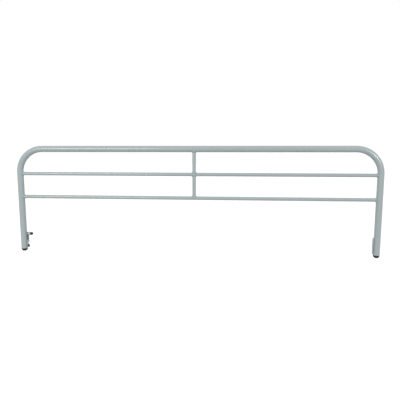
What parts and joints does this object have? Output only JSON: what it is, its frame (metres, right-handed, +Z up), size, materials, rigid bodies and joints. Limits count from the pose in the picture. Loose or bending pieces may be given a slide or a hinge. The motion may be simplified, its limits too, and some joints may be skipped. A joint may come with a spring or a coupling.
{
  "type": "folding bed guard rail",
  "caption": "Bent steel guard rail with thin cross bars and a short middle post; it hinges down on side brackets and a spring-loaded pin locks it upright",
  "frame": {"origin": "middle of the left bracket's back face, in line with the left leg, where it is screwed to the side of the bed", "axes": "+X along the rail to the right bracket, +Y into the bed, away from whoever stands beside it, +Z up"},
  "size_m": [1.45, 0.0355, 0.4348],
  "materials": {
    "grey_paint": "semi-gloss light grey paint",
    "black_plastic": "moulded, satin",
    "black_rubber": "dull",
    "black_steel": "black, satin",
    "zinc_steel": "zinc plated",
    "white_nylon": "moulded, matte"
  },
  "bodies": {
    "brackets": {"left_bracket": "grey_paint", "right_bracket": "grey_paint", "left_buffer": "black_rubber", "right_buffer": "black_rubber", "left_pivot_bush": "white_nylon", "right_pivot_bush": "white_nylon", "lock_plate": "black_steel", "lock_rivet_1": "black_steel", "lock_rivet_2": "black_steel", "lock_barrel": "grey_paint", "lock_spring": "zinc_steel"},
    "rail": {"rail_tube": "grey_paint", "upper_bar": "grey_paint", "lower_bar": "grey_paint", "upper_post": "grey_paint", "lower_post": "grey_paint", "left_end_plug": "black_plastic", "right_end_plug": "black_plastic", "left_pivot_sleeve": "zinc_steel", "right_pivot_sleeve": "zinc_steel", "left_pivot_stud": "zinc_steel", "right_pivot_pin": "grey_paint", "left_pivot_washer": "zinc_steel", "left_pivot_nut": "zinc_steel", "left_nut_cap": "black_plastic"},
    "lock": {"lock_pin": "zinc_steel", "lock_collar": "zinc_steel", "lock_knob": "black_plastic"}
  },
  "joints": [
    {"name": "rail_fold", "type": "hinge", "parent": "brackets", "child": "rail", "pos_m": [0, -0.023, -0.0295], "axis": [1, 0, 0], "range_deg": [0, 180]},
    {"name": "lock_pull", "type": "slide", "parent": "brackets", "child": "lock", "axis": [1, 0, 0], "range_m": [-0.003, 0.0008], "stiffness_N_per_m": 1100, "springref_m": -0.0053, "deforming": ["lock_spring"]}
  ]
}
